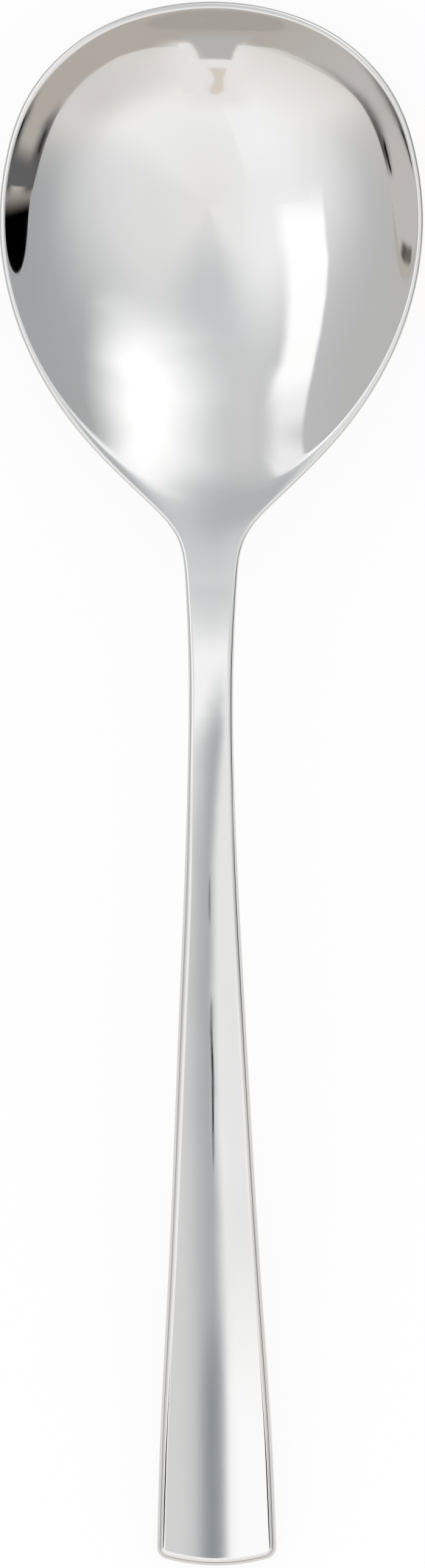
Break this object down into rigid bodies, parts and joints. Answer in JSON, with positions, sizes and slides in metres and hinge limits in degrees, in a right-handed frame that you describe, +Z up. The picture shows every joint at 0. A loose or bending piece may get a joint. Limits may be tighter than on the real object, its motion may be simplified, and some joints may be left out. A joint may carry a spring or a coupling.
{
  "type": "rice serving spoon",
  "caption": "Large serving spoon with a deep round-tipped oval bowl, slim neck and long hollow handle that widens to a shallow arc at its end.",
  "frame": {"origin": "on the table, under the middle of the whole spoon's length and width", "axes": "+Y along the spoon towards the tip of the bowl, +Z up out of the bowl's mouth, +X to the right as seen from above with the tip pointing away"},
  "size_m": [0.069, 0.255, 0.0235],
  "materials": {
    "bowl_steel": "mirror polished stainless steel",
    "handle_steel": "mirror polished stainless steel",
    "cement": "rough hard-set filler"
  },
  "bodies": {
    "root": {"bowl": "bowl_steel", "handle_front": "handle_steel", "handle_back": "handle_steel", "tang_cement": "cement"}
  },
  "joints": []
}
